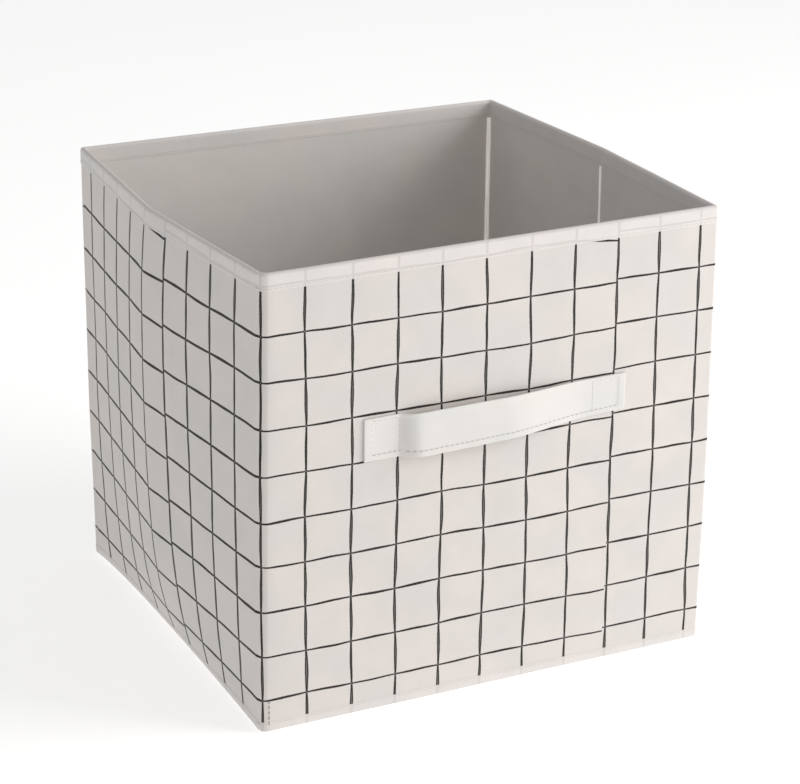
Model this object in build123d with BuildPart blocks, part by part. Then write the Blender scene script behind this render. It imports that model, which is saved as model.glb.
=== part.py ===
from build123d import *
import math
import os

# Collapsible fabric storage bin. The origin is on the floor at the middle of the footprint,
# +Z is up, the front wall with its carrying strap faces -Y and the left wall faces -X.

# overall size of the standing bin, over the covers
width = 300
depth = 286
height = 286

# what a wall is made of, from the outside in: cover, board, lining
cloth = 0.6
board = 1.8
wall = cloth + board + cloth
corner_radius = 1.8

# tape folded over the rim
tape = 0.4
rim_depth = 11

# tape along the bottom edge, set back under the walls and flush with their linings
band_height = 7
band = 1.4
band_inset = wall - band
lift = 0.3  # folding walls clear the bottom tape by this much

# gaps between the walls that fold against each other
corner_gap = 0.4  # end of a side wall to the rim tape of the front or back wall
crease_gap = 0.4  # between the two halves of a side wall

# bound seams inside the bin
seam_width = 1.5
corner_seam = 1.2  # how far a corner seam stands off the lining
crease_seam = 0.6  # how far a crease seam stands off the lining
seam_gap = 0.3  # corner seam to the side wall beside it
seam_drop = 1.5  # top of a seam below the rim tape

# loose bottom insert
insert_cloth = 0.5
insert_board = 2
insert_gap = 2.6  # to the rim tape, so that the insert lifts out

# carrying strap on the front wall
handle_x = 2
handle_z = 176.5
handle_tilt = 0.6  # degrees, right end up
strap_length = 176
strap_width = 26.5
strap = 1.8
strap_patch = 23.5  # length sewn flat at each end
strap_arch = 6.5  # finger room behind the middle
strap_rise = 18  # run of the slope on each side of the middle
strap_bend = 25  # radius where the strap leaves the wall and where it levels out

# box stitching on the strap's two ends
stitch_end_margin = 5
stitch_inner_margin = 1
stitch_side_margin = 3.5
stitch_width = 0.8
stitch = 0.4

INWARDS = (Align.CENTER, Align.MIN)  # a wall's profile starts on its outer face

half_length = depth / 2 - wall - tape - corner_gap - crease_gap / 2
half_middle = (crease_gap + half_length) / 2


def wall_place(x, y, along):
    """Plane at a wall's foot: its X runs along the wall and its Y points into the bin."""
    return Plane(origin=(x, y, 0), x_dir=along, z_dir=(0, 0, 1))


# name: plane at the foot, length, height of the foot, whether it wraps round the corners
walls = {
    "front": (wall_place(0, -depth / 2, (1, 0, 0)), width, band_height + lift, True),
    "back": (wall_place(0, depth / 2, (-1, 0, 0)), width, band_height, True),
    "left_back": (wall_place(-width / 2, half_middle, (0, -1, 0)), half_length, band_height + lift, False),
    "left_front": (wall_place(-width / 2, -half_middle, (0, -1, 0)), half_length, band_height + lift, False),
    "right_back": (wall_place(width / 2, half_middle, (0, 1, 0)), half_length, band_height + lift, False),
    "right_front": (wall_place(width / 2, -half_middle, (0, 1, 0)), half_length, band_height + lift, False),
}


def save(part, name):
    part.label = name
    export_step(part, f"parts/{name}.step")


def profile(at, length, start, thickness, radius=0):
    """Flat profile of a wall layer, its outer corners rounded where the wall turns a corner."""
    with BuildSketch(at) as layer:
        with Locations((0, start)):
            Rectangle(length, thickness, align=INWARDS)
        if radius:
            fillet(layer.vertices().group_by(Axis.Y)[0], radius)
    return layer.sketch


def make_cover(name, place, length, foot, wraps):
    """Outer cloth, turned in round the board at its two ends and its foot."""
    with BuildPart() as cover:
        extrude(
            profile(place.offset(foot), length, 0, wall, corner_radius * wraps),
            amount=height - tape - foot,
        )
        extrude(
            profile(
                place.offset(foot + cloth),
                length - 2 * cloth,
                cloth,
                wall - cloth,
                (corner_radius - cloth) * wraps,
            ),
            amount=height - tape - foot - cloth,
            mode=Mode.SUBTRACT,
        )
    save(cover.part, f"{name}_cover")


def make_board(name, place, length, foot, wraps):
    """Stiff board, sewn in between the cover and the lining."""
    with BuildPart() as stiffener:
        extrude(
            profile(
                place.offset(foot + cloth),
                length - 2 * cloth,
                cloth,
                board,
                (corner_radius - cloth) * wraps,
            ),
            amount=height - tape - foot - cloth,
        )
    save(stiffener.part, f"{name}_board")


def make_lining(name, place, length, foot):
    """Inner cloth, between the turned-in edges of the cover."""
    with BuildPart() as lining:
        extrude(
            profile(place.offset(foot + cloth), length - 2 * cloth, cloth + board, cloth),
            amount=height - tape - foot - cloth,
        )
    save(lining.part, f"{name}_lining")


def make_rim_tape(name, place, length, wraps):
    """Tape folded over the top edge, which also closes the ends of a wall that turns a corner."""
    under = height - tape - rim_depth
    with BuildPart() as rim:
        extrude(
            profile(
                place.offset(under),
                length + 2 * tape * wraps,
                -tape,
                wall + 2 * tape,
                (corner_radius + tape) * wraps,
            ),
            amount=rim_depth + tape,
        )
        extrude(
            profile(place.offset(under), length, 0, wall, corner_radius * wraps),
            amount=rim_depth,
            mode=Mode.SUBTRACT,
        )
    save(rim.part, f"{name}_rim_tape")


def make_corner_seams():
    """Bound seams in the four inner corners, two on the back wall and two on the front wall."""
    across = width / 2 - wall - seam_gap - seam_width / 2
    for name in ("back", "front"):
        place, _, foot, _ = walls[name]
        for side, end in (("left", -1), ("right", 1)):
            with BuildPart() as seam:
                with BuildSketch(place.offset(foot)):
                    with Locations((end * across * place.x_dir.X, wall)):
                        Rectangle(seam_width, corner_seam, align=INWARDS)
                extrude(amount=height - tape - rim_depth - seam_drop - foot)
            save(seam.part, f"{name}_{side}_corner_seam")


def make_crease_seams():
    """Bound seams inside the two side walls, on the front half beside the fold line."""
    for side in ("left", "right"):
        place, length, foot, _ = walls[f"{side}_front"]
        with BuildPart() as seam:
            with BuildSketch(place.offset(foot)):
                with Locations((place.x_dir.Y * (length - seam_width) / 2, wall)):
                    Rectangle(seam_width, crease_seam, align=INWARDS)
            extrude(amount=height - tape - rim_depth - seam_drop - foot)
        save(seam.part, f"{side}_crease_seam")


def make_bottom_tapes():
    """Tape round the bottom edge, one strip under each wall."""
    lengths = {"front": width, "back": width, "left": depth - 2 * band, "right": depth - 2 * band}
    feet = {
        "front": walls["front"][0],
        "back": walls["back"][0],
        "left": wall_place(-width / 2, 0, (0, -1, 0)),
        "right": wall_place(width / 2, 0, (0, 1, 0)),
    }
    for name, place in feet.items():
        with BuildPart() as bottom:
            extrude(
                profile(place, lengths[name] - 2 * band_inset, band_inset, band),
                amount=band_height,
            )
        save(bottom.part, f"{name}_bottom_tape")


def make_floor_cloth():
    """Cloth floor between the bottom tapes."""
    with BuildPart() as floor:
        with BuildSketch():
            Rectangle(width - 2 * wall, depth - 2 * wall)
        extrude(amount=cloth)
    save(floor.part, "floor_cloth")


def make_insert():
    """Loose stiff bottom: a board between two covers, lying on the floor cloth."""
    edge = wall + tape + insert_gap
    across = width - 2 * edge
    along = depth - 2 * edge

    with BuildPart() as under:
        with BuildSketch(Plane.XY.offset(cloth)):
            Rectangle(across, along)
        extrude(amount=insert_cloth)
    save(under.part, "insert_bottom_cover")

    with BuildPart() as stiffener:
        with BuildSketch(Plane.XY.offset(cloth + insert_cloth)):
            Rectangle(across - 2 * insert_cloth, along - 2 * insert_cloth)
        extrude(amount=insert_board)
    save(stiffener.part, "insert_board")

    with BuildPart() as top:
        with BuildSketch(Plane.XY.offset(cloth + insert_cloth)):
            Rectangle(across, along)
        extrude(amount=insert_board + insert_cloth)
        with BuildSketch(Plane.XY.offset(cloth + insert_cloth)):
            Rectangle(across - 2 * insert_cloth, along - 2 * insert_cloth)
        extrude(amount=insert_board, mode=Mode.SUBTRACT)
    save(top.part, "insert_top_cover")


def strap_axes():
    """Directions along the strap and across it, tilted as it is sewn on."""
    tilt = math.radians(handle_tilt)
    return (math.cos(tilt), 0, math.sin(tilt)), (-math.sin(tilt), 0, math.cos(tilt))


def make_strap():
    """Carrying strap, sewn flat at both ends and standing off the wall between them."""
    along, across = strap_axes()
    middle = Plane(origin=(handle_x, -depth / 2, handle_z), x_dir=along, z_dir=across)
    end = strap_length / 2
    slope = math.atan2(strap_arch, strap_rise)
    foot = end - strap_patch - strap_bend * math.tan(slope / 2)
    crown = foot - strap_rise
    with BuildPart() as handle:
        with BuildSketch(middle.offset(-strap_width / 2)):
            with BuildLine():
                FilletPolyline(
                    (-end, 0),
                    (-foot, 0),
                    (-crown, -strap_arch),
                    (crown, -strap_arch),
                    (foot, 0),
                    (end, 0),
                    radius=strap_bend,
                )
                offset(amount=strap, side=Side.RIGHT)
            make_face()
        extrude(amount=strap_width)
    save(handle.part, "handle_strap")


def make_stitching():
    """Box of stitches on each sewn end of the strap."""
    along, _ = strap_axes()
    face = Plane(
        origin=(handle_x, -depth / 2 - strap, handle_z),
        x_dir=along,
        z_dir=(0, -1, 0),
    )
    long_side = strap_patch - stitch_end_margin - stitch_inner_margin
    short_side = strap_width - 2 * stitch_side_margin
    middle = strap_length / 2 - stitch_end_margin - long_side / 2
    with BuildPart() as threads:
        with BuildSketch(face):
            with Locations((-middle, 0), (middle, 0)):
                Rectangle(long_side, short_side)
                Rectangle(
                    long_side - 2 * stitch_width,
                    short_side - 2 * stitch_width,
                    mode=Mode.SUBTRACT,
                )
        extrude(amount=stitch)
    save(threads.part, "handle_stitching")


os.makedirs("parts", exist_ok=True)

for wall_name, (foot_plane, wall_length, foot_height, turns_corner) in walls.items():
    make_cover(wall_name, foot_plane, wall_length, foot_height, turns_corner)
    make_board(wall_name, foot_plane, wall_length, foot_height, turns_corner)
    make_lining(wall_name, foot_plane, wall_length, foot_height)
    make_rim_tape(wall_name, foot_plane, wall_length, turns_corner)

make_corner_seams()
make_crease_seams()
make_bottom_tapes()
make_floor_cloth()
make_insert()
make_strap()
make_stitching()
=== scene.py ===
import math
import bpy
from mathutils import Matrix, Vector, noise


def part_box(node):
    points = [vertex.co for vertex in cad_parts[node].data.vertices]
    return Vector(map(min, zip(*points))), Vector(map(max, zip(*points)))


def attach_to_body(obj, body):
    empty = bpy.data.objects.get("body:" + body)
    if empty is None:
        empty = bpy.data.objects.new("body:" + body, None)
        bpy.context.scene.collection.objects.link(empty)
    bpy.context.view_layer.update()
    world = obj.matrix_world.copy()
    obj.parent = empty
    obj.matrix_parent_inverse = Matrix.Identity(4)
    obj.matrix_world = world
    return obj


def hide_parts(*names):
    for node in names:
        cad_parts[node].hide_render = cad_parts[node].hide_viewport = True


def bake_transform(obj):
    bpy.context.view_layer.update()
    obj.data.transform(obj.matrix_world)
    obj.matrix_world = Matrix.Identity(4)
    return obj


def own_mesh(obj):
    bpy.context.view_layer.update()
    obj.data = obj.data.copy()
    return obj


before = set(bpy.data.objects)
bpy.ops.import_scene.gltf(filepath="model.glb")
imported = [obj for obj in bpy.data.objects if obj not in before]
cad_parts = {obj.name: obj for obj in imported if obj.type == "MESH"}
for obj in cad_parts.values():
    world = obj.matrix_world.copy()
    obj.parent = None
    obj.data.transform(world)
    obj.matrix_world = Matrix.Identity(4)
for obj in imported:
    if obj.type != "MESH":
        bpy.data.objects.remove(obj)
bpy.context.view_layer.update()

mm = 0.001
frontLow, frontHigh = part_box("front_cover")
rimLow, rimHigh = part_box("front_rim_tape")
liningLow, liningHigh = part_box("front_lining")

halfX, halfY = frontHigh[0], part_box("back_cover")[1][1]
wallDepth = frontHigh[1] - frontLow[1]
clothDepth = liningHigh[1] - liningLow[1]
tapeDepth = rimHigh[1] - frontHigh[1]
wallFoot, rimFoot, rimTop = frontLow[2], rimLow[2], rimHigh[2]
frontLap, sideLap = 2 * halfX, 2 * halfY
lap = 2 * (frontLap + sideLap)  # all the way round the bin

# how the standing walls really sit
stance = {
    "innerRadius": 0.5 * mm,
    "wrap": 6 * mm,  # how far a wall's cloth runs on round its corner
    "foldReach": 5 * mm,  # how far from a corner its cloth starts to turn when folded
    "leftBow": 15 * mm,  # the left wall springs outwards at its fold line
    "leftTopTie": 4.5 * mm,  # held in a little by the rim tape
    "tieReach": 30 * mm,
    "rightBow": 9 * mm,
    "bowRise": 48 * mm,
    "rightFootIn": 3 * mm,
    "leftFootIn": 5.8 * mm,
    "footInRound": 0.6,
    "footInFade": 0.5,
    "wave": 0.35 * mm,
    "waveRate": 13,
    "foldedIn": 4 * mm,  # depth that the side walls flatten to when folded
    "foldedShare": 0.2,
}

# around: metres along the walls from the front left corner, to the right along the front first
sides = [
    (0, frontLap, Vector((-halfX, -halfY)), Vector((1, 0)), Vector((0, -1))),
    (frontLap, sideLap, Vector((halfX, -halfY)), Vector((0, 1)), Vector((1, 0))),
    (frontLap + sideLap, frontLap, Vector((halfX, halfY)), Vector((-1, 0)), Vector((0, 1))),
    (2 * frontLap + sideLap, sideLap, Vector((-halfX, halfY)), Vector((0, -1)), Vector((-1, 0))),
]
cornersAround = [side[0] + lap * turn for side in sides for turn in (-1, 0, 1)]

# each corner's radius, how far it stands aside at the foot, half way up and at the rim,
# and how much higher its rim is
corners = [
    {"radius": 6 * mm, "aside": (-3.1 * mm, -1.5 * mm, 0), "higher": -0.9 * mm},
    {"radius": 1.8 * mm, "aside": (1.2 * mm, 1.8 * mm, 0), "higher": 1.5 * mm},
    {"radius": 1.8 * mm, "aside": (0, 0, 0), "higher": 0.2 * mm},
    {"radius": 1.8 * mm, "aside": (-0.3 * mm, -1.5 * mm, -1.0 * mm), "higher": 0.4 * mm},
]

# how finely the cloth is divided
spacing = {
    "corner": 0.55 * mm,
    "along": 5 * mm,
    "cornerReach": 5 * mm,
    "lowRow": 3 * mm,
    "row": 7 * mm,
    "lowReach": 28 * mm,
    "floor": 8 * mm,
}

wrap = stance["wrap"]
walls = {
    "front": {"body": "front_wall", "reach": (-wrap, frontLap + wrap)},
    "right_front": {"body": "right_front_half", "reach": (frontLap + wrap, frontLap + halfY)},
    "right_back": {"body": "right_back_half", "reach": (frontLap + halfY, frontLap + sideLap + wrap)},
    "back": {"body": "back_wall_and_floor", "reach": (frontLap + sideLap + wrap, lap - sideLap + wrap)},
    "left_back": {"body": "left_back_half", "reach": (wrap - sideLap, -halfY)},
    "left_front": {"body": "left_front_half", "reach": (-halfY, -wrap)},
}

# walls whose cloth turns a folding corner: where it is, and the bodies before and after it
foldingCorners = {
    "front": (0, "left_front_half", "front_wall"),
    "back": (-sideLap, "back_wall_and_floor", "left_back_half"),
    "right_back": (frontLap + sideLap, "right_back_half", "back_wall_and_floor"),
}


def sideAt(around):
    around %= lap
    number = next(i for i, s in enumerate(sides) if s[0] <= around < s[0] + s[1])
    return number, around - sides[number][0]


def swell(side, share, up):
    # how far the wall stands out from the line between its corners
    ridge = 1 - abs(2 * share - 1)
    risen = 1 - math.exp(-up / stance["bowRise"])
    if side == 1:
        return ridge * (stance["rightBow"] * risen - stance["rightFootIn"])
    if side == 3:
        footIn = stance["leftFootIn"] * math.sin(math.pi * share) ** stance["footInRound"]
        footIn *= 1 - stance["footInFade"] * share
        tie = stance["leftTopTie"] * math.exp((up - rimTop) / stance["tieReach"])
        return ridge * (stance["leftBow"] * risen - tie) - footIn * (1 - risen)
    return 0


def wallPoint(around, up, inwards):
    # a point of the wall at this place along it, this high and this deep behind its face
    side, run = sideAt(around)
    start, length, corner, along, outwards = sides[side]
    share = run / length
    before, after = corners[side], corners[(side + 1) % 4]
    radius = before["radius"] if share < 0.5 else after["radius"]
    centre = max(radius, inwards + stance["innerRadius"])
    middle = min(max(run, centre), length - centre)
    turn = (run - middle) / centre * math.pi / 4
    normal = outwards * math.cos(turn) + along * math.sin(turn)
    foot = corner + along * run
    ripple = noise.noise(Vector((foot.x, foot.y, up)) * stance["waveRate"]) * stance["wave"]
    point = corner + along * middle - outwards * centre + normal * (centre - inwards + ripple)
    point += outwards * swell(side, share, up)
    low, half, high = (a + (b - a) * share for a, b in zip(before["aside"], after["aside"]))
    rise = before["higher"] + (after["higher"] - before["higher"]) * share
    height = up / rimTop
    point.x += (1 - height) * (1 - 2 * height) * low + 4 * height * (1 - height) * half
    point.x += height * (2 * height - 1) * high
    return Vector((point.x, point.y, up + rise * height))


def stations(start, end, marks, fine, coarse, reach):
    # places from start to end, closer together near the marks
    places = [start]
    while end - places[-1] > fine * 0.5:
        near = min(abs(places[-1] - mark) for mark in marks)
        places.append(min(places[-1] + (fine if near < reach else coarse), end))
    places[-1] = end
    return places


def evenly(start, end, step):
    return stations(start, end, [start], step, step, 0)


def deselect():
    for o in bpy.context.selected_objects:
        o.select_set(False)


def applyModifier(piece, kind, **settings):
    deselect()
    bpy.context.view_layer.objects.active = piece
    piece.select_set(True)
    modifier = piece.modifiers.new(kind.title(), kind)
    for name, value in settings.items():
        setattr(modifier, name, value)
    bpy.ops.object.modifier_apply(modifier=modifier.name)
    piece.select_set(False)


def smooth(piece, degrees=40):
    deselect()
    bpy.context.view_layer.objects.active = piece
    piece.select_set(True)
    bpy.ops.object.shade_smooth_by_angle(angle=math.radians(degrees))
    piece.select_set(False)


def layGrid(name, columns, rows, place, measure):
    # a grid of cloth laid out point by point, with its flat size in its UV map
    deselect()
    bpy.ops.mesh.primitive_grid_add(
        x_subdivisions=len(columns) - 1, y_subdivisions=len(rows) - 1, size=1, location=(0, 0, 0)
    )
    piece = bpy.context.object
    piece.name = piece.data.name = name
    mesh = piece.data
    spots = []
    for vertex in mesh.vertices:
        column = columns[round((vertex.co.x + 0.5) * (len(columns) - 1))]
        row = rows[round((vertex.co.y + 0.5) * (len(rows) - 1))]
        spots.append((column, row))
    for vertex, spot in zip(mesh.vertices, spots):
        vertex.co = place(*spot)
    uv = mesh.uv_layers.active.data
    for loop in mesh.loops:
        uv[loop.index].uv = measure(*spots[loop.vertex_index])
    mesh.update()
    return piece


def attach(piece, wall):
    # on its wall's body; where its cloth wraps a folding corner it is only baked in place, on no body
    if wall in foldingCorners:
        corner, before, after = foldingCorners[wall]
        reach = stance["foldReach"]
        outline(corner - reach)
        outline(corner + reach)
        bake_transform(piece)
    else:
        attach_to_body(piece, walls[wall]["body"])
        flatten(piece)


def outline(around):
    # a point on the walls' plain outline
    side, run = sideAt(around)
    point = sides[side][2] + sides[side][3] * run
    return (point.x, point.y, rimTop / 2)


def flatten(piece):
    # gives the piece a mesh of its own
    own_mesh(piece)


def wallColumns(wall):
    start, end = walls[wall]["reach"]
    return stations(start, end, cornersAround, spacing["corner"], spacing["along"], spacing["cornerReach"])


def wallRows(bottom, top):
    return stations(bottom, top, [wallFoot], spacing["lowRow"], spacing["row"], spacing["lowReach"])


def layWall(name, columns, bottom, top, inwards, thickness, side):
    # side is -1 where the thickness goes inwards from this depth and 1 where it goes outwards
    piece = layGrid(
        name,
        columns,
        wallRows(bottom, top),
        lambda around, up: wallPoint(around, up, inwards),
        lambda around, up: (around, up),
    )
    applyModifier(piece, "SOLIDIFY", thickness=thickness, offset=side)
    smooth(piece)
    return piece


def pick(piece, isWanted):
    # selects the edges that pass the test, and leaves the piece in edit mode
    deselect()
    bpy.context.view_layer.objects.active = piece
    piece.select_set(True)
    bpy.ops.object.mode_set(mode="EDIT")
    bpy.ops.mesh.select_mode(type="EDGE")
    bpy.ops.mesh.select_all(action="DESELECT")
    bpy.ops.object.mode_set(mode="OBJECT")
    for edge in piece.data.edges:
        edge.select = isWanted(*(piece.data.vertices[i].co for i in edge.vertices))
    bpy.ops.object.mode_set(mode="EDIT")


def isUpright(a, b):
    return abs(a.z - b.z) > 0.9 * (a - b).length


def joinPieces(name, pieces):
    deselect()
    for piece in pieces:
        piece.select_set(True)
    bpy.context.view_layer.objects.active = pieces[0]
    bpy.ops.object.join()
    pieces[0].name = pieces[0].data.name = name
    deselect()
    return pieces[0]


def paint(piece, material):
    piece.data.materials.clear()
    piece.data.materials.append(material)


print("materials")


def startMaterial(name):
    material = bpy.data.materials.new(name)
    material.use_nodes = True
    tree = material.node_tree
    tree.nodes.clear()
    shader = tree.nodes.new("ShaderNodeBsdfPrincipled")
    out = tree.nodes.new("ShaderNodeOutputMaterial")
    tree.links.new(shader.outputs["BSDF"], out.inputs["Surface"])
    return material, tree, shader


def join(tree, value, socket):
    if isinstance(value, bpy.types.NodeSocket):
        tree.links.new(value, socket)
    else:
        socket.default_value = value


def maths(tree, operation, *values, clamp=False):
    node = tree.nodes.new("ShaderNodeMath")
    node.operation = operation
    node.use_clamp = clamp
    for value, socket in zip(values, node.inputs):
        join(tree, value, socket)
    return node.outputs[0]


def stretch(tree, vector, scale):
    node = tree.nodes.new("ShaderNodeMapping")
    node.inputs["Scale"].default_value = scale
    tree.links.new(vector, node.inputs["Vector"])
    return node.outputs["Vector"]


def cloudy(tree, vector, scale, detail=2):
    node = tree.nodes.new("ShaderNodeTexNoise")
    node.inputs["Scale"].default_value = scale
    node.inputs["Detail"].default_value = detail
    tree.links.new(vector, node.inputs["Vector"])
    return node.outputs


def mixColours(tree, share, low, high, kind="MIX"):
    node = tree.nodes.new("ShaderNodeMix")
    node.data_type = "RGBA"
    node.blend_type = kind
    join(tree, share, node.inputs["Factor"])
    for value, socket in ((low, node.inputs[6]), (high, node.inputs[7])):
        join(tree, value if isinstance(value, bpy.types.NodeSocket) else (*value, 1), socket)
    return node.outputs[2]


def bump(tree, height, strength, distance, shader):
    node = tree.nodes.new("ShaderNodeBump")
    node.inputs["Strength"].default_value = strength
    node.inputs["Distance"].default_value = distance
    tree.links.new(height, node.inputs["Height"])
    tree.links.new(node.outputs["Normal"], shader.inputs["Normal"])


def uvPlace(tree):
    return tree.nodes.new("ShaderNodeTexCoord").outputs["UV"]


def objectPlace(tree):
    return tree.nodes.new("ShaderNodeTexCoord").outputs["Object"]


# hand drawn grid, all in millimetres
drawing = {
    "pitchAround": 28.9,
    "firstAround": -1.4,
    "pitchUp": 28.44,
    "firstUp": 21.0,
    "repeatCells": 12,
    "repeatStart": 229.8,
    "repeatStep": 2.2,  # the rows step up where one repeat of the print ends
    "topDip": 3.8,  # only the last cell of the top row shows below the rim tape
    "topLift": 1.6,
    "topFrom": 254.3,
    "topSpan": 14.3,
    "footDrift": 2.0,
    "slowWobble": 4.5,
    "slowScale": 0.011,
    "quickWobble": 1.4,
    "quickScale": 0.04,
    "columnStroke": (0.60, 0.18, 0.56),  # half width at a crossing, least and most swell between two
    "rowStroke": (0.48, 0.10, 0.34),
    "softness": 0.22,
    "roughScale": 1.1,
    "roughness": 0.34,
    "fuller": 0.26,  # the strokes are heavier on the left wall
    "wideFrom": 0.8,  # wider strokes have a paler streak along their middle
    "wideRate": 3.0,
    "streakHalf": 0.26,
    "streakPale": 0.42,
    "flareReach": 1.44,
    "flareSoft": 0.4,
    "hollowReach": 0.56,  # the open middle of a crossing
    "hollowSoft": 0.35,
    "hollowPale": 0.45,
    "dryLeast": 0.85,
    "dryMore": 0.3,
}


def spindle(tree, along, rowSeed, lineSeed, thin, swellLow, swellHigh):
    # half the width of a stroke: thin at the crossings, fuller and uneven between them
    seed = tree.nodes.new("ShaderNodeCombineXYZ")
    tree.links.new(rowSeed, seed.inputs["X"])
    tree.links.new(lineSeed, seed.inputs["Y"])
    chance = tree.nodes.new("ShaderNodeTexWhiteNoise")
    chance.noise_dimensions = "2D"
    tree.links.new(seed.outputs["Vector"], chance.inputs["Vector"])
    bulge = maths(tree, "SINE", maths(tree, "MULTIPLY", along, math.pi))
    full = maths(tree, "MULTIPLY_ADD", chance.outputs["Value"], swellHigh - swellLow, swellLow)
    return maths(tree, "MULTIPLY_ADD", bulge, full, thin)


def fadeOut(tree, distance, reach, soft):
    # 1 near zero, falling to 0 over the last soft stretch before reach
    return maths(tree, "MULTIPLY_ADD", distance, -1 / soft, reach / soft, clamp=True)


def drawnGridGroup():
    tree = bpy.data.node_groups.new("drawnGrid", "ShaderNodeTree")
    tree.interface.new_socket("Place", in_out="INPUT", socket_type="NodeSocketVector")
    tree.interface.new_socket("Ink", in_out="OUTPUT", socket_type="NodeSocketFloat")
    entry = tree.nodes.new("NodeGroupInput")
    leave = tree.nodes.new("NodeGroupOutput")
    place = stretch(tree, entry.outputs["Place"], (1 / mm, 1 / mm, 0))
    split = tree.nodes.new("ShaderNodeSeparateXYZ")
    tree.links.new(place, split.inputs["Vector"])
    around, up = split.outputs["X"], split.outputs["Y"]

    slow = tree.nodes.new("ShaderNodeSeparateColor")
    tree.links.new(cloudy(tree, place, drawing["slowScale"], 1.0)["Color"], slow.inputs["Color"])
    quick = tree.nodes.new("ShaderNodeSeparateColor")
    tree.links.new(cloudy(tree, place, drawing["quickScale"], 1.0)["Color"], quick.inputs["Color"])
    ragged = cloudy(tree, place, drawing["roughScale"])["Fac"]

    def wobble(channel):
        big = maths(tree, "SUBTRACT", slow.outputs[channel], 0.5)
        small = maths(tree, "SUBTRACT", quick.outputs[channel], 0.5)
        small = maths(tree, "MULTIPLY", small, drawing["quickWobble"])
        return maths(tree, "MULTIPLY_ADD", big, drawing["slowWobble"], small)

    # columns lean to the right towards the foot
    low = maths(tree, "SUBTRACT", 1.0, maths(tree, "MULTIPLY", up, 1 / (rimTop / mm)))
    lean = maths(tree, "MULTIPLY", maths(tree, "MULTIPLY", low, low), -drawing["footDrift"])
    column = maths(tree, "ADD", maths(tree, "ADD", around, wobble("Red")), lean)
    column = maths(tree, "SUBTRACT", column, drawing["firstAround"])
    column = maths(tree, "MULTIPLY", column, 1 / drawing["pitchAround"])

    # rows sink a little along each repeat and step up again at its end
    cells, step = drawing["repeatCells"], drawing["repeatStep"]
    phase = maths(tree, "SUBTRACT", around, drawing["repeatStart"])
    phase = maths(tree, "FRACT", maths(tree, "MULTIPLY", phase, 1 / (drawing["pitchAround"] * cells)))
    sink = maths(tree, "MULTIPLY_ADD", phase, step, -step / 2)
    lastCell = maths(tree, "MULTIPLY_ADD", phase, cells, 1 - cells, clamp=True)
    topFrom, topSpan = drawing["topFrom"], drawing["topSpan"]
    topRow = maths(tree, "MULTIPLY_ADD", up, 1 / topSpan, -topFrom / topSpan, clamp=True)
    dip = maths(tree, "MULTIPLY_ADD", lastCell, drawing["topDip"], -drawing["topLift"])
    dip = maths(tree, "MULTIPLY", topRow, dip)
    row = maths(tree, "ADD", maths(tree, "ADD", up, wobble("Green")), maths(tree, "ADD", sink, dip))
    row = maths(tree, "SUBTRACT", row, drawing["firstUp"])
    row = maths(tree, "MULTIPLY", row, 1 / drawing["pitchUp"])

    nearColumn, nearRow = maths(tree, "ROUND", column), maths(tree, "ROUND", row)
    offColumn = maths(tree, "MULTIPLY", maths(tree, "SUBTRACT", column, nearColumn), drawing["pitchAround"])
    offRow = maths(tree, "MULTIPLY", maths(tree, "SUBTRACT", row, nearRow), drawing["pitchUp"])
    distColumn, distRow = maths(tree, "ABSOLUTE", offColumn), maths(tree, "ABSOLUTE", offRow)
    alongColumn, alongRow = maths(tree, "FRACT", row), maths(tree, "FRACT", column)
    halfColumn = spindle(tree, alongColumn, nearColumn, maths(tree, "FLOOR", row), *drawing["columnStroke"])
    halfRow = spindle(tree, alongRow, maths(tree, "FLOOR", column), nearRow, *drawing["rowStroke"])

    onLeft = maths(tree, "LESS_THAN", around, 0.0)
    rough = maths(tree, "MULTIPLY_ADD", ragged, drawing["roughness"], -drawing["roughness"] / 2)
    rough = maths(tree, "MULTIPLY_ADD", onLeft, drawing["fuller"], rough)

    def stroke(half, dist):
        edge = maths(tree, "SUBTRACT", maths(tree, "ADD", half, rough), dist)
        solid = maths(tree, "MULTIPLY_ADD", edge, 1 / drawing["softness"], 0.5, clamp=True)
        wide = maths(tree, "SUBTRACT", half, drawing["wideFrom"])
        wide = maths(tree, "MULTIPLY", wide, drawing["wideRate"], clamp=True)
        streak = fadeOut(tree, dist, drawing["streakHalf"], drawing["streakHalf"])
        streak = maths(tree, "MULTIPLY", wide, streak)
        paler = maths(tree, "MULTIPLY_ADD", streak, -drawing["streakPale"], 1.0)
        return maths(tree, "MULTIPLY", solid, paler)

    # small flared crossing with an open middle
    spread = maths(tree, "ADD", distColumn, distRow)
    flare = fadeOut(tree, spread, drawing["flareReach"], drawing["flareSoft"])
    hollow = fadeOut(tree, spread, drawing["hollowReach"], drawing["hollowSoft"])
    strokes = maths(tree, "MAXIMUM", stroke(halfColumn, distColumn), stroke(halfRow, distRow))
    strokes = maths(tree, "MAXIMUM", strokes, flare)
    paler = maths(tree, "MULTIPLY_ADD", hollow, -drawing["hollowPale"], 1.0)
    strokes = maths(tree, "MULTIPLY", strokes, paler)
    dry = maths(tree, "MULTIPLY_ADD", ragged, drawing["dryMore"], drawing["dryLeast"], clamp=True)
    tree.links.new(maths(tree, "MULTIPLY", strokes, dry), leave.inputs["Ink"])
    return tree


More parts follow.
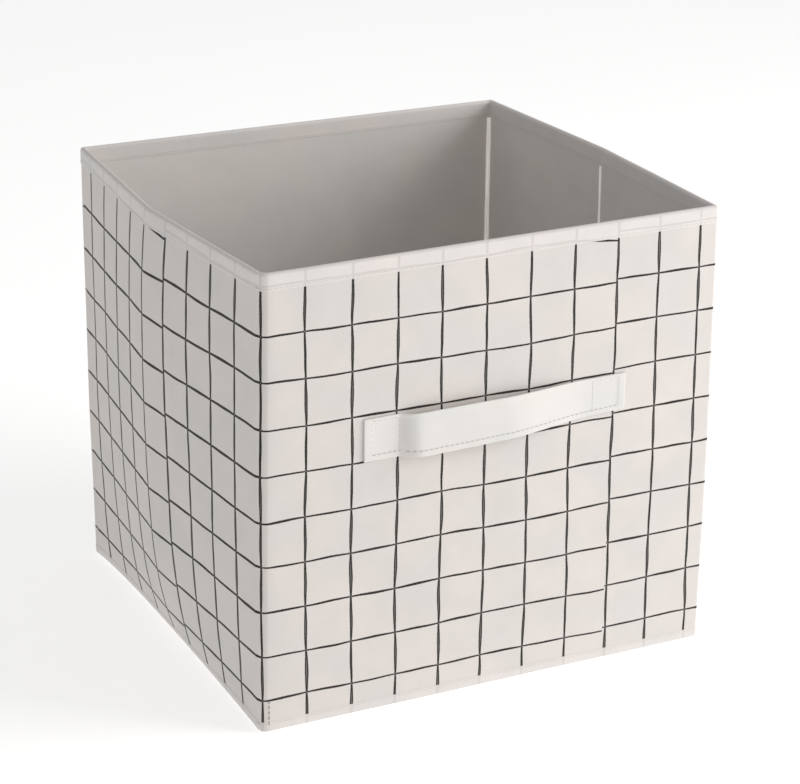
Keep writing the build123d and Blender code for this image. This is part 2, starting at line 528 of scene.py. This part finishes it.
# pressed cloth: pattern scales per metre; gain and start turn a pattern into a share from 0 to 1
fibre = {
    "bondScale": 800,
    "bondRandomness": 0.25,
    "bondGain": 2.6,
    "bondStart": -0.35,
    "bondDepth": 0.6,
    "strandDepth": 0.5,
    "fineScale": 5200,
    "crossScale": 4300,
    "blotchScale": 55,
    "driftScale": 21,
    "driftTint": (0.94, 0.97, 0.98),  # broad patches drift a little between pink and grey
    "driftGain": 3.2,
    "driftStart": -1.1,
    "toneGain": 2.2,
    "toneStart": -0.6,
    "smoothest": 0.76,
    "rougher": 0.12,
    "sheen": 0.12,
    "sheenSpread": 0.6,
    "gloss": 0.25,
    "glowColour": (1, 0.96, 0.92, 1),  # colour of the painted glow that stands in for light coming through thin cloth
    "bumpHeight": 0.12 * mm,
}


def nonWovenGroup():
    # pressed fibres with small bonding points
    tree = bpy.data.node_groups.new("nonWoven", "ShaderNodeTree")
    tree.interface.new_socket("Place", in_out="INPUT", socket_type="NodeSocketVector")
    tree.interface.new_socket("Height", in_out="OUTPUT", socket_type="NodeSocketFloat")
    tree.interface.new_socket("Tone", in_out="OUTPUT", socket_type="NodeSocketFloat")
    entry = tree.nodes.new("NodeGroupInput")
    leave = tree.nodes.new("NodeGroupOutput")
    place = entry.outputs["Place"]
    points = tree.nodes.new("ShaderNodeTexVoronoi")
    points.inputs["Scale"].default_value = fibre["bondScale"]
    points.inputs["Randomness"].default_value = fibre["bondRandomness"]
    tree.links.new(place, points.inputs["Vector"])
    gain, start = fibre["bondGain"], fibre["bondStart"]
    dimple = maths(tree, "MULTIPLY_ADD", points.outputs["Distance"], gain, start, clamp=True)
    fibres = cloudy(tree, stretch(tree, place, (1, 0.35, 1)), fibre["fineScale"], 3.0)["Fac"]
    crossFibres = cloudy(tree, stretch(tree, place, (0.4, 1, 1)), fibre["crossScale"])["Fac"]
    strands = maths(tree, "ADD", fibres, crossFibres)
    pressed = maths(tree, "MULTIPLY", dimple, fibre["bondDepth"])
    height = maths(tree, "MULTIPLY_ADD", strands, fibre["strandDepth"], pressed)
    blotch = cloudy(tree, place, fibre["blotchScale"])["Fac"]
    tone = maths(tree, "MULTIPLY_ADD", blotch, 0.5, maths(tree, "MULTIPLY", strands, 0.25))
    tree.links.new(height, leave.inputs["Height"])
    tree.links.new(tone, leave.inputs["Tone"])
    return tree


drawnGrid = drawnGridGroup()
nonWoven = nonWovenGroup()


def callGroup(tree, group, place):
    node = tree.nodes.new("ShaderNodeGroup")
    node.node_tree = group
    tree.links.new(place, node.inputs["Place"])
    return node.outputs


def clothMaterial(name, pale, deep, inkShare=0.0, inkTop=1.0, relief=0.3, place=uvPlace, glow=0.0):
    # inkShare: how strongly the print shows; inkTop: metres up the wall where it ends; glow: strength of
    # the painted light that the cloth gives off
    material, tree, shader = startMaterial(name)
    spot = place(tree)
    cloth = callGroup(tree, nonWoven, spot)
    tone = maths(tree, "MULTIPLY_ADD", cloth["Tone"], fibre["toneGain"], fibre["toneStart"], clamp=True)
    colour = mixColours(tree, tone, deep, pale)
    drift = cloudy(tree, spot, fibre["driftScale"], 1.5)["Fac"]
    drift = maths(tree, "MULTIPLY_ADD", drift, fibre["driftGain"], fibre["driftStart"], clamp=True)
    colour = mixColours(tree, drift, colour, fibre["driftTint"], "MULTIPLY")
    if inkShare:
        drawn = callGroup(tree, drawnGrid, spot)["Ink"]
        split = tree.nodes.new("ShaderNodeSeparateXYZ")
        tree.links.new(spot, split.inputs["Vector"])
        below = maths(tree, "LESS_THAN", split.outputs["Y"], inkTop)
        drawn = maths(tree, "MULTIPLY", drawn, maths(tree, "MULTIPLY", below, inkShare))
        colour = mixColours(tree, drawn, colour, ink)
    tree.links.new(colour, shader.inputs["Base Color"])
    rough = maths(tree, "MULTIPLY_ADD", cloth["Tone"], fibre["rougher"], fibre["smoothest"])
    tree.links.new(rough, shader.inputs["Roughness"])
    shader.inputs["Sheen Weight"].default_value = fibre["sheen"]
    shader.inputs["Sheen Roughness"].default_value = fibre["sheenSpread"]
    shader.inputs["Specular IOR Level"].default_value = fibre["gloss"]
    shader.inputs["Emission Color"].default_value = fibre["glowColour"]
    shader.inputs["Emission Strength"].default_value = glow
    bump(tree, cloth["Height"], relief, fibre["bumpHeight"], shader)
    return material


ink = (0.014, 0.011, 0.009)
printedCloth = clothMaterial("printedCloth", (0.755, 0.70, 0.67), (0.695, 0.645, 0.61), inkShare=1.0)
rimCloth = clothMaterial("rimTape", (0.80, 0.75, 0.725), (0.745, 0.695, 0.67), 0.13, rimTop - mm)
hemCloth = clothMaterial("hemTape", (0.775, 0.725, 0.70), (0.72, 0.67, 0.645), 0.1)
liningCloth = clothMaterial("liningCloth", (0.79, 0.745, 0.71), (0.73, 0.69, 0.655))
# darker than the lining, for the bin's floor cloth and insert: painted shade that dims the light bouncing
# round inside the bin
hiddenShadedCloth = ((0.70, 0.665, 0.63), (0.665, 0.63, 0.595))
floorClothMaterial = clothMaterial("floorCloth", *hiddenShadedCloth)
insertClothMaterial = clothMaterial("insertCloth", *hiddenShadedCloth, place=objectPlace)
strapCloth = clothMaterial("strapCloth", (0.81, 0.77, 0.74), (0.765, 0.725, 0.695), relief=0.35)
bindingPale, bindingDeep = (0.93, 0.91, 0.88), (0.87, 0.85, 0.82)
# the seam binding glows: painted light, standing in for light shining through the thin cloth at the seams
bindingCloth = clothMaterial("seamBinding", bindingPale, bindingDeep, place=objectPlace, glow=0.22)


yarn = {"twistScale": 900, "roughness": 0.6, "sheen": 0.2, "relief": 0.4, "bumpHeight": 0.05 * mm}


def threadMaterial(name, deep, pale):
    material, tree, shader = startMaterial(name)
    spot = objectPlace(tree)
    twist = tree.nodes.new("ShaderNodeTexWave")
    twist.wave_type = "BANDS"
    twist.bands_direction = "DIAGONAL"
    twist.inputs["Scale"].default_value = yarn["twistScale"]
    tree.links.new(spot, twist.inputs["Vector"])
    tree.links.new(mixColours(tree, twist.outputs["Fac"], deep, pale), shader.inputs["Base Color"])
    shader.inputs["Roughness"].default_value = yarn["roughness"]
    shader.inputs["Sheen Weight"].default_value = yarn["sheen"]
    bump(tree, twist.outputs["Fac"], yarn["relief"], yarn["bumpHeight"], shader)
    return material


pulpBoard = {
    "pulpScale": 700,
    "pulpDeep": (0.22, 0.165, 0.115),
    "pulpPale": (0.36, 0.285, 0.21),
    "fleckScale": 2600,
    "fleckAbove": 0.63,
    "fleck": (0.12, 0.09, 0.07),
    "roughness": 0.9,
    "relief": 0.3,
    "bumpHeight": 0.1 * mm,
}


def boardMaterial():
    material, tree, shader = startMaterial("greyBoard")
    spot = objectPlace(tree)
    pulp = cloudy(tree, spot, pulpBoard["pulpScale"], 4)["Fac"]
    colour = mixColours(tree, pulp, pulpBoard["pulpDeep"], pulpBoard["pulpPale"])
    flecks = cloudy(tree, spot, pulpBoard["fleckScale"])["Fac"]
    flecks = maths(tree, "GREATER_THAN", flecks, pulpBoard["fleckAbove"])
    colour = mixColours(tree, flecks, colour, pulpBoard["fleck"])
    tree.links.new(colour, shader.inputs["Base Color"])
    shader.inputs["Roughness"].default_value = pulpBoard["roughness"]
    bump(tree, pulp, pulpBoard["relief"], pulpBoard["bumpHeight"], shader)
    return material


thread = threadMaterial("sewingThread", (0.60, 0.56, 0.53), (0.70, 0.66, 0.63))
# near-black thread for the corner tack row: painted shade of the stitch holes
tackShadeThread = threadMaterial("tackShadeThread", (0.10, 0.09, 0.08), (0.18, 0.16, 0.15))
# darker copies of the sewing thread, painted shade of the stitch holes: much darker for the strap's lower
# row, a little darker for its end boxes
strapShadeThread = threadMaterial("strapShadeThread", (0.34, 0.31, 0.29), (0.50, 0.46, 0.43))
strapBoxShadeThread = threadMaterial("strapBoxShadeThread", (0.58, 0.54, 0.51), (0.70, 0.66, 0.63))
greyBoard = boardMaterial()

print("walls")

wallCloth = {
    "foot": 6.1 * mm,
    "top": rimTop - 0.9 * mm,
    "boardFoot": 9 * mm,
    "boardTop": rimTop - 1.4 * mm,
    "boardFromCorner": 4 * mm,
    "boardFromFold": 0.6 * mm,
    "slack": 0.05 * mm,
}
folds = (frontLap + halfY, lap - halfY)


def boardColumns(wall):
    # the board is flat, so it ends before the corners and just before the fold line
    start, end = walls[wall]["reach"]
    fromCorner, fromFold = wallCloth["boardFromCorner"], wallCloth["boardFromFold"]
    lowEnd = start + fromFold if start % lap in folds else nextCorner(start) + fromCorner
    highEnd = end - fromFold if end % lap in folds else nextCorner(end) - fromCorner
    return evenly(lowEnd, highEnd, spacing["along"])


def nextCorner(around):
    return min(cornersAround, key=lambda corner: abs(corner - around))


for wall, facts in walls.items():
    start, end = facts["reach"]
    foot, top = wallCloth["foot"], wallCloth["top"]
    slack = wallCloth["slack"]
    cover = layWall(f"{wall}_printed_cover", wallColumns(wall), foot, top, 0, clothDepth, -1)
    paint(cover, printedCloth)
    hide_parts(f"{wall}_cover")
    attach(cover, wall)

    board = layWall(
        f"{wall}_stiff_board",
        boardColumns(wall),
        wallCloth["boardFoot"],
        wallCloth["boardTop"],
        clothDepth + slack,
        wallDepth - 2 * clothDepth - 2 * slack,
        -1,
    )
    paint(board, greyBoard)
    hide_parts(f"{wall}_board")
    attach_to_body(board, facts["body"])
    if wall not in foldingCorners:
        flatten(board)

    lining = layWall(f"{wall}_inner_lining", wallColumns(wall), foot, top, wallDepth, clothDepth, 1)
    paint(lining, liningCloth)
    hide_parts(f"{wall}_lining")
    attach(lining, wall)

print("rim tape and hems")

rimTape = {
    "thickness": 0.35 * mm,
    "foot": rimFoot + 0.9 * mm,
    "bendStep": 0.6 * mm,
    "legStep": 2.2 * mm,
    "bendReach": 3 * mm,
}
rimRound = (wallDepth + 2 * tapeDepth) / 2
rimLeg = rimTop - rimRound - rimTape["foot"]
rimLength = 2 * rimLeg + math.pi * rimRound


def rimPoint(around, run):
    # run: metres along the tape from its outer edge, over the top and down inside
    if run < rimLeg:
        return wallPoint(around, rimTape["foot"] + run, -tapeDepth)
    if run > rimLength - rimLeg:
        return wallPoint(around, rimTape["foot"] + rimLength - run, wallDepth + tapeDepth)
    turn = (run - rimLeg) / rimRound
    inwards = wallDepth / 2 - rimRound * math.cos(turn)
    return wallPoint(around, rimTop - rimRound + rimRound * math.sin(turn), inwards)


hem = {
    "top": 6.9 * mm,
    "out": 0.16 * mm,
    "round": 1.6 * mm,
    "under": 7 * mm,
    "thickness": 0.2 * mm,
    "rise": 0.3 * mm,
    "bendStep": 0.8 * mm,
    "step": 1.6 * mm,
    "bendReach": 4 * mm,
    "foldedShare": 0.12,
}


def hemPoint(around, run):
    # run: metres along the hem from its upper edge, down the wall and in under it
    radius = hem["round"]
    leg = hem["top"] - hem["rise"] - radius
    bend = radius * math.pi / 2
    if run < leg:
        return wallPoint(around, hem["top"] - run, -hem["out"])
    if run > leg + bend:
        return wallPoint(around, hem["rise"], radius - hem["out"] + run - leg - bend)
    turn = (run - leg) / radius
    up = hem["rise"] + radius - radius * math.sin(turn)
    return wallPoint(around, up, radius - hem["out"] - radius * math.cos(turn))


hemBend = hem["round"] * math.pi / 2
hemLength = hem["top"] - hem["rise"] - hem["round"] + hemBend + hem["under"] - hem["round"]
hemNode = {"front": "front", "back": "back", "left_back": "left", "left_front": "left"}

rimBends = [rimLeg, rimLength / 2, rimLength - rimLeg]
rimRows = stations(0, rimLength, rimBends, rimTape["bendStep"], rimTape["legStep"], rimTape["bendReach"])
hemTurn = hem["top"] - hem["round"]
hemRows = stations(0, hemLength, [hemTurn], hem["bendStep"], hem["step"], hem["bendReach"])[::-1]

for wall, facts in walls.items():
    start, end = facts["reach"]
    rim = layGrid(
        f"{wall}_rim_binding",
        wallColumns(wall),
        rimRows,
        rimPoint,
        lambda around, run: (around, rimTape["foot"] + run),
    )
    applyModifier(rim, "SOLIDIFY", thickness=rimTape["thickness"], offset=-1)
    smooth(rim)
    paint(rim, rimCloth)
    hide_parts(f"{wall}_rim_tape")
    attach(rim, wall)

    band = layGrid(
        f"{wall}_bottom_hem",
        wallColumns(wall),
        hemRows,
        hemPoint,
        lambda around, run: (around, hem["top"] - run),
    )
    applyModifier(band, "SOLIDIFY", thickness=hem["thickness"], offset=-1)
    smooth(band)
    paint(band, hemCloth)
    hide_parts(f"{hemNode.get(wall, 'right')}_bottom_tape")
    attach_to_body(band, facts["body"])
    if wall != "back":
        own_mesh(band)

print("stitches")

stitch = {
    "length": 2.5 * mm,
    "pitch": 3.4 * mm,
    "width": 0.5 * mm,
    "height": 0.3 * mm,
    "rimIn": 1.3 * mm,  # row above the rim tape's edge
    "hemIn": 1.3 * mm,
    "tackIn": 5.6 * mm,  # a row with near-black thread holds the foot of the front left corner; the dark thread is painted shade of the stitch holes
    "tackFoot": 4.5 * mm,
    "tackTop": 22 * mm,
    "probe": 0.4 * mm,  # a stitch lies along its cloth from this far before its middle to this far after
}


def oneStitch():
    # a short length of thread that dips into the cloth at both ends
    deselect()
    bpy.ops.mesh.primitive_cylinder_add(vertices=6, radius=0.5, depth=0.6, rotation=(0, math.pi / 2, 0))
    bead = bpy.context.object
    bpy.ops.object.transform_apply(location=False, rotation=True, scale=False)
    for way in (-1, 1):
        pick(bead, lambda a, b: a.x * way > 0.2 and b.x * way > 0.2)
        bpy.ops.mesh.extrude_region_move(TRANSFORM_OT_translate={"value": (0.2 * way, 0, 0)})
        bpy.ops.transform.resize(value=(1, 0.45, 0.45), center_override=(0.5 * way, 0, 0))
        bpy.ops.object.mode_set(mode="OBJECT")
    deselect()
    return bead


stitchPattern = oneStitch()


def sew(name, stitches, material):
    # stitches: (middle, direction, outwards) of each
    copies = []
    for middle, direction, outwards in stitches:
        x = direction.normalized()
        z = (outwards - x * outwards.dot(x)).normalized()
        sizes = (x * stitch["length"], z.cross(x) * stitch["width"], z * stitch["height"])
        copy = stitchPattern.copy()
        copy.data = stitchPattern.data.copy()
        copy.data.transform(Matrix.Translation(middle) @ Matrix(sizes).transposed().to_4x4())
        bpy.context.scene.collection.objects.link(copy)
        copies.append(copy)
    piece = joinPieces(name, copies)
    smooth(piece, 60)
    paint(piece, material)
    return piece


def shares(run):
    # where the stitches of a run this long are, from 0 at its start to 1 at its end
    count = max(1, round(run / stitch["pitch"]))
    return [(k + 0.5) / count for k in range(count)]


def wallStitch(around, up, probe, inwards, facing):
    # probe: how far its ends are from its middle, along the wall and up it
    low = wallPoint(around - probe[0], up - probe[1], inwards)
    high = wallPoint(around + probe[0], up + probe[1], inwards)
    out = wallPoint(around, up, inwards - mm) - wallPoint(around, up, inwards + mm)
    return (low + high) / 2, high - low, out * facing


def sewRound(start, end, up, inwards, facing):
    # a level row of stitches along the wall; facing is 1 outside and -1 inside
    places = [start + share * (end - start) for share in shares(end - start)]
    return [wallStitch(at, up, (stitch["probe"], 0), inwards, facing) for at in places]


def sewUp(around, bottom, top, inwards):
    # an upright row of stitches on the outside of the wall
    places = [bottom + share * (top - bottom) for share in shares(top - bottom)]
    return [wallStitch(around, up, (0, stitch["probe"]), inwards, 1) for up in places]


for wall, facts in walls.items():
    start, end = facts["reach"]
    edge = rimTape["foot"] + stitch["rimIn"]
    rows = sewRound(start, end, edge, -tapeDepth, 1)
    rows += sewRound(start, end, edge, wallDepth + tapeDepth, -1)
    rimRow = sew(f"{wall}_rim_stitches", rows, thread)
    attach(rimRow, wall)
    rows = sewRound(start, end, hem["top"] - stitch["hemIn"], -hem["out"], 1)
    wallRow = sew(f"{wall}_seam_stitches", rows, thread)
    attach(wallRow, wall)

tackRow = sewUp(stitch["tackIn"], stitch["tackFoot"], stitch["tackTop"], -hem["out"])
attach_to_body(sew("corner_tack_stitches", tackRow, tackShadeThread), "front_wall")

print("seams inside")

binding = {
    "strand": 0.7 * mm,
    "apart": 0.8 * mm,  # each corner has two strands, this far to each side of it
    "out": 0.7 * mm,
    "sway": 0.25 * mm,
    "uneven": 0.35,
    "crease": 0.75 * mm,
    "creaseAside": 0.9 * mm,
    "creaseOut": 0.3 * mm,
    "creaseUneven": 0.3,
    "foot": 8 * mm,
    "drop": 0.6 * mm,
    "step": 3 * mm,
}


def strand(name, places, radius):
    # a rounded seam that runs up along a list of points with their widths
    deselect()
    bpy.ops.mesh.primitive_cylinder_add(vertices=10, radius=1, depth=len(places) - 1, location=(0, 0, 0))
    piece = bpy.context.object
    piece.name = piece.data.name = name
    pick(piece, isUpright)
    bpy.ops.mesh.subdivide(number_cuts=len(places) - 2)
    bpy.ops.object.mode_set(mode="OBJECT")
    for vertex in piece.data.vertices:
        middle, width = places[round(vertex.co.z + (len(places) - 1) / 2)]
        vertex.co = middle + Vector((vertex.co.x, vertex.co.y, 0)) * radius * width
    piece.data.update()
    smooth(piece, 60)
    return piece


seamTop = rimFoot - binding["drop"]
seamRows = evenly(binding["foot"], seamTop, binding["step"])


def wavering(seed, up, size):
    return noise.noise(Vector((seed * 7.1, up * 60, 0))) * size


cornerSeams = {
    "front_left": (0, "front"),
    "front_right": (frontLap, None),
    "back_right": (frontLap + sideLap, "right_back"),
    "back_left": (-sideLap, "back"),
}
for corner, (around, blendWall) in cornerSeams.items():
    at = around + 0.02 * mm  # just past the corner itself
    strands = []
    for seed, way in ((1, -1), (2, 1)):
        places = []
        for up in seamRows:
            middle = wallPoint(at, up, wallDepth + binding["out"])
            across = wallPoint(at + mm, up, 0) - wallPoint(at - mm, up, 0)
            middle += across.normalized() * (way * binding["apart"] + wavering(seed, up, binding["sway"]))
            places.append((middle, 1 + wavering(seed + 4, up, binding["uneven"])))
        strands.append(strand(f"{corner}_strand_{seed}", places, binding["strand"]))
    seam = joinPieces(f"{corner}_corner_binding", strands)
    paint(seam, bindingCloth)
    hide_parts(f"{corner}_corner_seam")
    if blendWall:
        attach(seam, blendWall)
    else:
        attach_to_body(seam, "front_wall")

for side, fold, way in (("left", -halfY, 1), ("right", frontLap + halfY, -1)):
    at = fold + way * binding["creaseAside"]
    places = []
    for up in seamRows:
        middle = wallPoint(at, up, wallDepth + binding["creaseOut"])
        places.append((middle, 1 + wavering(3, up, binding["creaseUneven"])))
    seam = strand(f"{side}_crease_binding", places, binding["crease"])
    paint(seam, bindingCloth)
    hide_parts(f"{side}_crease_seam")
    attach(seam, f"{side}_front")

web = {"half": 5 * mm, "in": 1.1 * mm, "thickness": 0.3 * mm, "step": 0.5 * mm, "turnHalf": 2.5 * mm}
webFold = frontLap + halfY
webLow, webHigh = webFold - web["half"], webFold + web["half"]
creaseWeb = layGrid(
    "right_crease_web",
    stations(webLow, webHigh, [webFold], web["step"], 2 * web["step"], web["half"]),
    wallRows(wallFoot + mm, rimFoot),
    lambda around, up: wallPoint(around, up, wallDepth - web["in"]),
    lambda around, up: (around, up),
)
applyModifier(creaseWeb, "SOLIDIFY", thickness=web["thickness"], offset=-1)
smooth(creaseWeb)
paint(creaseWeb, liningCloth)
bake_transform(creaseWeb)

print("floor cloth and bottom insert")

floorLow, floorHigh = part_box("floor_cloth")
floorCloth = {
    "edgeIn": 3 * mm,
    "rise": 0.5 * mm,
    "thickness": 0.4 * mm,
    "ripple": 0.08 * mm,
    "rippleRate": 40,
    "foldedShare": 0.09,
    "foldedFrom": 4 * mm,  # it gathers against the back wall when the bin is folded
}


def floorPoint(x, y):
    ripple = floorCloth["ripple"] * noise.noise(Vector((x, y, 0)) * floorCloth["rippleRate"])
    return Vector((x, y, floorCloth["rise"] + ripple))


def floorStations(axis):
    start, end = floorLow[axis] + floorCloth["edgeIn"], floorHigh[axis] - floorCloth["edgeIn"]
    return evenly(start, end, spacing["floor"])


floorSheet = layGrid("bottom_cloth", floorStations(0), floorStations(1), floorPoint, lambda x, y: (x, y))
applyModifier(floorSheet, "SOLIDIFY", thickness=floorCloth["thickness"], offset=-1)
smooth(floorSheet)
paint(floorSheet, floorClothMaterial)
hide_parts("floor_cloth")
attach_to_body(floorSheet, "back_wall_and_floor")
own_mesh(floorSheet)

insertLow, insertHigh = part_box("insert_bottom_cover")[0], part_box("insert_top_cover")[1]
insert = {
    "cornerRadius": mm,
    "edgeRound": 0.9 * mm,
    "cloth": 0.45 * mm,
    "stitchIn": 7 * mm,
    "stitchRise": 0.05 * mm,
}


def wrappedInsert():
    # cloth sewn tightly round the insert's board
    deselect()
    bpy.ops.mesh.primitive_cube_add(size=1, location=(0, 0, 0))
    piece = bpy.context.object
    piece.name = piece.data.name = "insert_cloth_wrap"
    for v in piece.data.vertices:
        v.co = Vector([(l + h) / 2 + c * (h - l) for l, h, c in zip(insertLow, insertHigh, v.co)])
    pick(piece, isUpright)
    bpy.ops.mesh.bevel(offset=insert["cornerRadius"], segments=4, affect="EDGES")
    bpy.ops.object.mode_set(mode="OBJECT")
    pick(piece, lambda a, b: abs(a.z - b.z) < 0.1 * mm)
    bpy.ops.mesh.bevel(offset=insert["edgeRound"], segments=4, affect="EDGES")
    bpy.ops.object.mode_set(mode="OBJECT")
    applyModifier(piece, "SOLIDIFY", thickness=insert["cloth"], offset=-1)
    smooth(piece, 50)
    return piece


insertWrap = wrappedInsert()
paint(insertWrap, insertClothMaterial)
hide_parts("insert_top_cover", "insert_bottom_cover")
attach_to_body(insertWrap, "bottom_insert")


def sewFlat(runs, up):
    # level stitches along straight runs on a flat piece
    row = []
    for a, b in runs:
        for share in shares((b - a).length):
            at = a + (b - a) * share
            row.append((Vector((at.x, at.y, up)), (b - a).to_3d(), Vector((0, 0, 1))))
    return row


insertX = insertHigh[0] - insert["stitchIn"]
insertY = insertHigh[1] - insert["stitchIn"]
insertCorners = [Vector((x * insertX, y * insertY)) for x, y in ((-1, -1), (1, -1), (1, 1), (-1, 1))]
insertRuns = list(zip(insertCorners, insertCorners[1:] + insertCorners[:1]))
insertThread = sew("insert_stitches", sewFlat(insertRuns, insertHigh[2] + insert["stitchRise"]), thread)
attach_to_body(insertThread, "bottom_insert")

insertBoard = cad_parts["insert_board"]
insertBoard.data.materials.clear()
insertBoard.data.materials.append(greyBoard)

print("carrying strap")

strapLow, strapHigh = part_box("handle_strap")
strap = {
    "middleX": (strapLow[0] + strapHigh[0]) / 2 - 0.9 * mm,
    "middleZ": (strapLow[2] + strapHigh[2]) / 2,
    "length": 175 * mm,
    "width": 26.5 * mm,
    "patch": 23.5 * mm,
    "arch": 6.3 * mm,
    "curl": 13 * mm,  # it springs up steeply beside the left patch
    "curlPower": 2.6,
    "gentleRise": 62 * mm,
    "taper": 3.4 * mm,  # its lower edge climbs towards the right
    "lean": 0.2,  # the lower edge stands further out
    "tilt": math.radians(0.6),
    "thickness": 1.2 * mm,
    "edgeRound": 0.3 * mm,
    "pucker": 0.3 * mm,
    "lengthStep": 1.1 * mm,
    "widthStep": 0.7 * mm,
    "lowerBorder": 3.6 * mm,
    "upperBorder": 1.9 * mm,
    "endBorder": 4.6 * mm,
    "borderLift": 0.3 * mm,
    "borderSoft": 0.8 * mm,
    "borderOut": 0.5 * mm,
}


def ease(x):
    x = min(max(x, 0), 1)
    return x * x * (3 - 2 * x)


def strapPoint(along, across):
    # a point of its outer face, this far from its middle along it and across it
    half = strap["length"] / 2
    sewn = half - strap["patch"]
    steep = 1 - (1 - min(max((along + sewn) / strap["curl"], 0), 1)) ** strap["curlPower"]
    rise = steep * (1 - ease((along - sewn) / strap["gentleRise"] + 1))
    arch = strap["arch"] * rise * (1 - strap["lean"] * across / (strap["width"] / 2))
    borders = (
        (strap["width"] / 2 - across, strap["upperBorder"]),
        (strap["width"] / 2 + across, strap["lowerBorder"]),
        (half - abs(along), strap["endBorder"]),
    )
    past = min((off - border + strap["borderOut"]) / strap["borderSoft"] for off, border in borders)
    raised = strap["borderLift"] * (1 - ease(past))
    pucker = strap["pucker"] * noise.noise(Vector((along * 60, across * 40, 3)))
    out = arch + strap["thickness"] + raised + pucker * rise
    climb = strap["taper"] * ((along + half) / strap["length"]) ** 2 * (0.5 - across / strap["width"])
    x = strap["middleX"] + along * math.cos(strap["tilt"])
    z = strap["middleZ"] + across + along * math.sin(strap["tilt"]) + climb
    return Vector((x, -halfY - out, z))


def strapSteps(length, step):
    count = round(length / step)
    return [-length / 2 + length * k / count for k in range(count + 1)]


handle = layGrid(
    "carrying_strap",
    strapSteps(strap["length"], strap["lengthStep"]),
    strapSteps(strap["width"], strap["widthStep"]),
    strapPoint,
    lambda along, across: (along, across),
)
applyModifier(handle, "SOLIDIFY", thickness=strap["thickness"], offset=-1)
applyModifier(
    handle,
    "BEVEL",
    width=strap["edgeRound"],
    segments=2,
    limit_method="ANGLE",
    angle_limit=math.radians(60),
)
smooth(handle, 45)
paint(handle, strapCloth)
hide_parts("handle_strap")
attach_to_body(handle, "front_wall")


def sewStrap(runs):
    # stitches along straight runs on the strap
    row = []
    for start, end in runs:
        start, end = Vector(start), Vector(end)
        probe = (end - start).normalized() * stitch["probe"]
        for share in shares((end - start).length):
            at = start + (end - start) * share
            low, high = strapPoint(*(at - probe)), strapPoint(*(at + probe))
            row.append(((low + high) / 2, high - low, Vector((0, -1, 0))))
    return row


rowUp = strap["width"] / 2 - strap["upperBorder"]
rowDown = strap["lowerBorder"] - strap["width"] / 2
outerEnd = strap["length"] / 2 - strap["endBorder"]
innerEnd = strap["length"] / 2 - strap["patch"] + mm
# the lower row's dark thread is painted shade of its stitch holes
lowerRow = sew("strap_lower_stitches", sewStrap([((-outerEnd, rowDown), (outerEnd, rowDown))]), strapShadeThread)
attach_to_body(lowerRow, "front_wall")
runs = []
for end in (-1, 1):
    runs.append(((end * outerEnd, rowUp), (end * innerEnd, rowUp)))
    runs += [((end * at, rowDown), (end * at, rowUp)) for at in (outerEnd, innerEnd)]
strapBoxes = sew("strap_box_stitches", sewStrap(runs), strapBoxShadeThread)
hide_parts("handle_stitching")
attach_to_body(strapBoxes, "front_wall")

bpy.data.objects.remove(stitchPattern)

print("camera, light and floor")

view = {
    "azimuth": math.radians(-26.787),
    "elevation": math.radians(20.839),
    "roll": math.radians(0.617),
    "lens": 116.1,
    "distance": 1.656,
    "right": 8.19 * mm,
    "up": -0.44 * mm,
}


def setCamera():
    camera = bpy.data.objects.new("camera", bpy.data.cameras.new("camera"))
    bpy.context.scene.collection.objects.link(camera)
    camera.data.lens = view["lens"]
    azimuth, elevation = view["azimuth"], view["elevation"]
    back = Vector((
        math.sin(azimuth) * math.cos(elevation),
        -math.cos(azimuth) * math.cos(elevation),
        math.sin(elevation),
    ))
    right = Vector((0, 0, 1)).cross(back).normalized()
    above = back.cross(right)
    turned = right * math.cos(view["roll"]) + above * math.sin(view["roll"])
    above = above * math.cos(view["roll"]) - right * math.sin(view["roll"])
    middle = Vector((0, 0, rimTop / 2))
    camera.matrix_world = Matrix.Translation(
        middle + back * view["distance"] + turned * view["right"] + above * view["up"]
    ) @ Matrix((turned, above, back)).transposed().to_4x4()
    bpy.context.scene.camera = camera


studio = {
    "world": 0.455,
    "floorSize": 14,
    "floorDeep": (0.93, 0.93, 0.925),
    "floorPale": (0.96, 0.96, 0.955),
    "floorGlow": 0.45,
    "lampColour": (1, 0.99, 0.98),
}
lamps = {
    "sideLight": {"place": (1.36, -0.88, 0.82), "target": (0, 0, 0.2), "size": 1.1, "power": 19.5},
    "frontLight": {"place": (0.9, -2.2, 1.3), "target": (0, 0, 0.15), "size": 1.6, "power": 0.6},
}


def addLamp(name, facts):
    lamp = bpy.data.objects.new(name, bpy.data.lights.new(name, "AREA"))
    lamp.data.shape = "SQUARE"
    lamp.data.size = facts["size"]
    lamp.data.energy = facts["power"]
    lamp.data.color = studio["lampColour"]
    bpy.context.scene.collection.objects.link(lamp)
    lamp.location = facts["place"]
    aim = Vector(facts["target"]) - Vector(facts["place"])
    lamp.rotation_euler = aim.to_track_quat("-Z", "Y").to_euler()


def setStage():
    deselect()
    bpy.ops.mesh.primitive_plane_add(size=studio["floorSize"], location=(0, 0, 0))
    ground = bpy.context.object
    ground.name = "studio_floor"
    deselect()
    material, tree, shader = startMaterial("paleFloor")
    grain = cloudy(tree, objectPlace(tree), 3, 3)["Fac"]
    colour = mixColours(tree, grain, studio["floorDeep"], studio["floorPale"])
    tree.links.new(colour, shader.inputs["Base Color"])
    shader.inputs["Roughness"].default_value = 0.8
    shader.inputs["Emission Color"].default_value = (1, 1, 1, 1)
    shader.inputs["Emission Strength"].default_value = studio["floorGlow"]
    ground.data.materials.append(material)


def setWorld():
    world = bpy.data.worlds.new("studio")
    bpy.context.scene.world = world
    world.use_nodes = True
    background = world.node_tree.nodes["Background"]
    background.inputs["Color"].default_value = (1, 1, 1, 1)
    background.inputs["Strength"].default_value = studio["world"]
    bpy.context.scene.view_settings.view_transform = "Standard"


setWorld()
setCamera()
for name, facts in lamps.items():
    addLamp(name, facts)
setStage()
